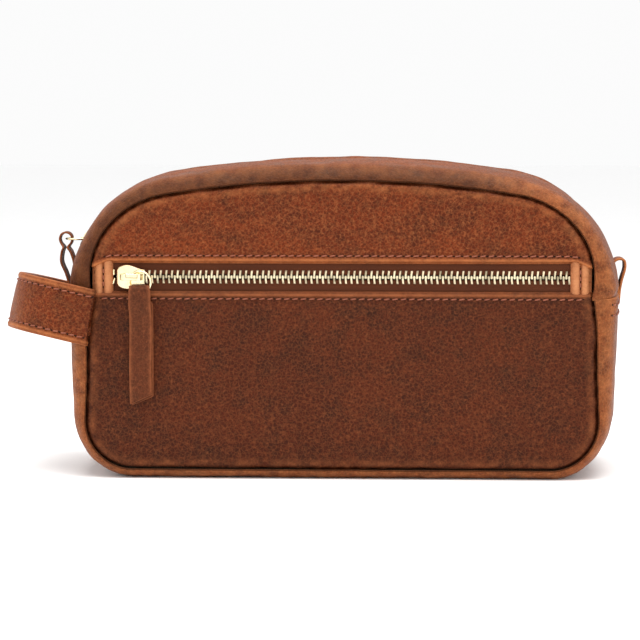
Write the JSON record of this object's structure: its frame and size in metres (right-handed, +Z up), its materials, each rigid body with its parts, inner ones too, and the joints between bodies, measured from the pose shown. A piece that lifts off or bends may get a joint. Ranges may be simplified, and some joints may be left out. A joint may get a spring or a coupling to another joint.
{
  "type": "toiletry bag",
  "caption": "Leather toiletry bag with an arched zipped mouth, a flat base, a zipped front pocket with a leather pull, a cloth lining and a loop handle on one side.",
  "frame": {"origin": "centre of the base's flat underside", "axes": "+X along the long side, the handle being at -X; +Y from the pocket side to the back; +Z up"},
  "size_m": [0.2868, 0.1045, 0.1426],
  "materials": {
    "leather": "semi-matt waxed pull-up cowhide, cognac brown, pebbled",
    "pull_leather": "semi-matt darker cognac leather",
    "lining": "matt woven cotton, dark olive brown",
    "zip_tape": "matt brown herringbone tape",
    "zip_teeth": "antique brass, polished tops",
    "hardware": "polished pale gold"
  },
  "bodies": {
    "bag": {"lower_front_panel": "leather", "lower_back_panel": "leather", "bottom_gusset": "leather", "lower_lining": "lining", "pocket_lining": "lining", "pocket_zip_tape_lower": "zip_tape", "pocket_zip_tape_upper": "zip_tape", "pocket_zip_teeth_lower": "zip_teeth", "pocket_zip_teeth_upper": "zip_teeth", "pocket_top_stop_lower": "hardware", "pocket_top_stop_upper": "hardware", "pocket_end_tab_left": "leather", "pocket_end_tab_right": "leather", "zip_end_tab": "leather"},
    "front_flap": {"upper_front_panel": "leather", "front_zip_gusset": "leather", "front_upper_lining": "lining", "front_zip_tape": "zip_tape", "front_zip_teeth": "zip_teeth"},
    "back_flap": {"upper_back_panel": "leather", "back_zip_gusset": "leather", "back_upper_lining": "lining", "back_zip_tape": "zip_tape", "back_zip_teeth": "zip_teeth"},
    "main_slider": {"main_slider": "hardware"},
    "main_ring": {"main_ring": "hardware"},
    "main_pull": {"main_pull": "pull_leather"},
    "pocket_slider": {"pocket_slider": "hardware"},
    "pocket_ring": {"pocket_ring": "hardware"},
    "pocket_pull": {"pocket_pull": "pull_leather"},
    "handle": {"handle_strap": "leather", "handle_backing": "leather"}
  },
  "joints": [
    {"name": "front_flap_fold", "type": "hinge", "parent": "bag", "child": "front_flap", "pos_m": [0, -0.048, 0.09733], "axis": [1, 0, 0], "range_deg": [0, 15]},
    {"name": "back_flap_fold", "type": "hinge", "parent": "bag", "child": "back_flap", "pos_m": [0, 0.048, 0.09733], "axis": [-1, 0, 0], "range_deg": [0, 15]},
    {"name": "main_slider_travel", "type": "hinge", "parent": "front_flap", "child": "main_slider", "pos_m": [-0.068, 0, 0.08065], "axis": [0, 1, 0], "range_deg": [0, 52]},
    {"name": "main_ring_swing", "type": "hinge", "parent": "main_slider", "child": "main_ring", "pos_m": [-0.11918, 0, 0.10506], "axis": [0, 1, 0], "range_deg": [0, 75]},
    {"name": "main_pull_swing", "type": "hinge", "parent": "main_ring", "child": "main_pull", "pos_m": [-0.12898, 0, 0.10506], "axis": [0, 1, 0], "range_deg": [0, 90]},
    {"name": "pocket_slider_travel", "type": "slide", "parent": "bag", "child": "pocket_slider", "axis": [1, 0, 0], "range_m": [0, 0.189]},
    {"name": "pocket_ring_swing", "type": "hinge", "parent": "pocket_slider", "child": "pocket_ring", "pos_m": [-0.09369, -0.0506, 0.09043], "axis": [-0.454, 0, -0.891], "range_deg": [0, 80]},
    {"name": "pocket_pull_swing", "type": "hinge", "parent": "pocket_ring", "child": "pocket_pull", "pos_m": [-0.08932, -0.0506, 0.0833], "axis": [-1, 0, 0], "range_deg": [0, 100]},
    {"name": "handle_swing", "type": "hinge", "parent": "bag", "child": "handle", "pos_m": [-0.1115, 0, 0.072], "axis": [0, 1, 0], "range_deg": [-35, 0]}
  ],
  "couplings": [
    {"joint": "back_flap_fold", "follows": "front_flap_fold", "ratio": 1}
  ]
}
